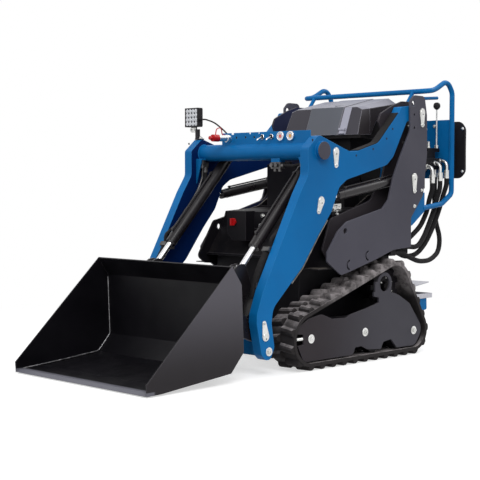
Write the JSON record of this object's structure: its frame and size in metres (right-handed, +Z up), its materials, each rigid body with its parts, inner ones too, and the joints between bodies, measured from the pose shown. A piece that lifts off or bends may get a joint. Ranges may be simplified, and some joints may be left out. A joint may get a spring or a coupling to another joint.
{
  "type": "mini track loader",
  "caption": "Walk-behind tracked loader with two bent lift arms on rear towers, a wide dirt bucket, hooded engine, guard rail with thigh pad and a folding step.",
  "frame": {"origin": "on the ground under the middle of the machine's outer box", "axes": "+X forward towards the bucket, +Y to the machine's left, +Z up"},
  "size_m": [2.6909, 1.127, 1.6734],
  "materials": {
    "blue_paint": "satin blue powder coat",
    "dark_grey_paint": "satin dark grey powder coat",
    "black_paint": "satin black paint, a little dusty",
    "track_rubber": "matt black rubber, dusty",
    "hose_rubber": "matt black rubber",
    "pad_foam": "soft black foam skin",
    "black_plastic": "matt black moulded plastic",
    "hood_plastic": "dark grey moulded plastic, satin gloss",
    "zinc_steel": "bright zinc plating",
    "chrome": "hard chrome",
    "galvanised": "dull galvanised sheet",
    "engine_cast": "dark cast metal",
    "red_plastic": "red moulded plastic",
    "grey_rubber": "worn grey rubber",
    "lamp_glass": "clear lamp lens"
  },
  "bodies": {
    "chassis": {"battery_box": "black_paint", "body_floor": "black_paint", "chassis_tub": "black_paint", "control_hoses": "hose_rubber", "control_levers": "zinc_steel", "control_valve": "black_paint", "drive_sprocket_left": "black_paint", "drive_sprocket_right": "black_paint", "engine": "engine_cast", "engine_deck": "black_paint", "front_panel": "black_paint", "guard_rail": "blue_paint", "hood": "hood_plastic", "hood_strap": "grey_rubber", "hose_fittings": "zinc_steel", "hydraulic_tank": "black_paint", "isolator_switch": "red_plastic", "pump_group": "zinc_steel", "rear_panel": "blue_paint", "side_plate_left": "black_paint", "side_plate_right": "black_paint", "step_brackets": "blue_paint", "step_frame": "galvanised", "thigh_pad": "pad_foam", "tower_inner_left": "black_paint", "tower_inner_right": "black_paint", "tower_outer_left": "dark_grey_paint", "tower_outer_right": "dark_grey_paint", "tower_pins": "zinc_steel", "track_frame_left": "black_paint", "track_frame_right": "black_paint", "track_left": "track_rubber", "track_right": "track_rubber", "track_wheels_left": "black_paint", "track_wheels_right": "black_paint"},
    "lift_arms": {"arm_cross_tube": "blue_paint", "arm_fittings": "zinc_steel", "arm_hoses": "hose_rubber", "arm_pins": "zinc_steel", "aux_coupler": "zinc_steel", "coupler_cap": "red_plastic", "lamp_cable": "hose_rubber", "lamp_lens": "lamp_glass", "lift_arm_left": "blue_paint", "lift_arm_right": "blue_paint", "lower_cross_member": "blue_paint", "panel_gauges": "black_plastic", "tube_caps": "dark_grey_paint", "work_lamp": "black_plastic"},
    "bucket": {"attach_frame": "black_paint", "bucket": "black_paint"},
    "lift_barrel_left": {"lift_barrel_left": "black_paint"},
    "lift_barrel_right": {"lift_barrel_right": "black_paint"},
    "lift_rod_left": {"lift_rod_left": "chrome"},
    "lift_rod_right": {"lift_rod_right": "chrome"},
    "step": {"step_plate": "galvanised"},
    "tilt_barrel_left": {"tilt_barrel_left": "black_paint"},
    "tilt_barrel_right": {"tilt_barrel_right": "black_paint"},
    "tilt_rod_left": {"tilt_rod_left": "chrome"},
    "tilt_rod_right": {"tilt_rod_right": "chrome"}
  },
  "joints": [
    {"name": "lift", "type": "hinge", "parent": "chassis", "child": "lift_arms", "pos_m": [-0.878, 0, 1.461], "axis": [0, -1, 0], "range_deg": [0, 60]},
    {"name": "bucket_tilt", "type": "hinge", "parent": "lift_arms", "child": "bucket", "pos_m": [0.472, 0, 0.215], "axis": [0, -1, 0], "range_deg": [-90, 20]},
    {"name": "step_fold", "type": "hinge", "parent": "chassis", "child": "step", "pos_m": [-0.98, 0, 0.332], "axis": [0, 1, 0], "range_deg": [0, 70]},
    {"name": "lift_barrel_swing_left", "type": "hinge", "parent": "chassis", "child": "lift_barrel_left", "pos_m": [-0.804, 0.4745, 1.068], "axis": [0, -1, 0], "range_deg": [0, 60]},
    {"name": "lift_rod_slide_left", "type": "slide", "parent": "lift_barrel_left", "child": "lift_rod_left", "axis": [0.9874, 0, -0.1582], "range_m": [0, 0.4]},
    {"name": "tilt_barrel_swing_left", "type": "hinge", "parent": "lift_arms", "child": "tilt_barrel_left", "pos_m": [-0.098, 0.342, 1.21], "axis": [0, -1, 0], "range_deg": [-1, 3]},
    {"name": "tilt_rod_slide_left", "type": "slide", "parent": "tilt_barrel_left", "child": "tilt_rod_left", "axis": [0.6835, 0, -0.73], "range_m": [-0.11, 0.49]},
    {"name": "lift_barrel_swing_right", "type": "hinge", "parent": "chassis", "child": "lift_barrel_right", "pos_m": [-0.804, -0.4745, 1.068], "axis": [0, -1, 0], "range_deg": [0, 60]},
    {"name": "lift_rod_slide_right", "type": "slide", "parent": "lift_barrel_right", "child": "lift_rod_right", "axis": [0.9874, 0, -0.1582], "range_m": [0, 0.4]},
    {"name": "tilt_barrel_swing_right", "type": "hinge", "parent": "lift_arms", "child": "tilt_barrel_right", "pos_m": [-0.098, -0.342, 1.21], "axis": [0, -1, 0], "range_deg": [-1, 3]},
    {"name": "tilt_rod_slide_right", "type": "slide", "parent": "tilt_barrel_right", "child": "tilt_rod_right", "axis": [0.6835, 0, -0.73], "range_m": [-0.11, 0.49]}
  ],
  "couplings": [
    {"joint": "lift_barrel_swing_left", "follows": "lift", "ratio": 0.945},
    {"joint": "lift_rod_slide_left", "follows": "lift", "m_per_rad": 0.3778},
    {"joint": "tilt_barrel_swing_left", "follows": "bucket_tilt", "ratio": -0.025},
    {"joint": "tilt_rod_slide_left", "follows": "bucket_tilt", "m_per_rad": -0.3094},
    {"joint": "lift_barrel_swing_right", "follows": "lift", "ratio": 0.945},
    {"joint": "lift_rod_slide_right", "follows": "lift", "m_per_rad": 0.3778},
    {"joint": "tilt_barrel_swing_right", "follows": "bucket_tilt", "ratio": -0.025},
    {"joint": "tilt_rod_slide_right", "follows": "bucket_tilt", "m_per_rad": -0.3094}
  ]
}
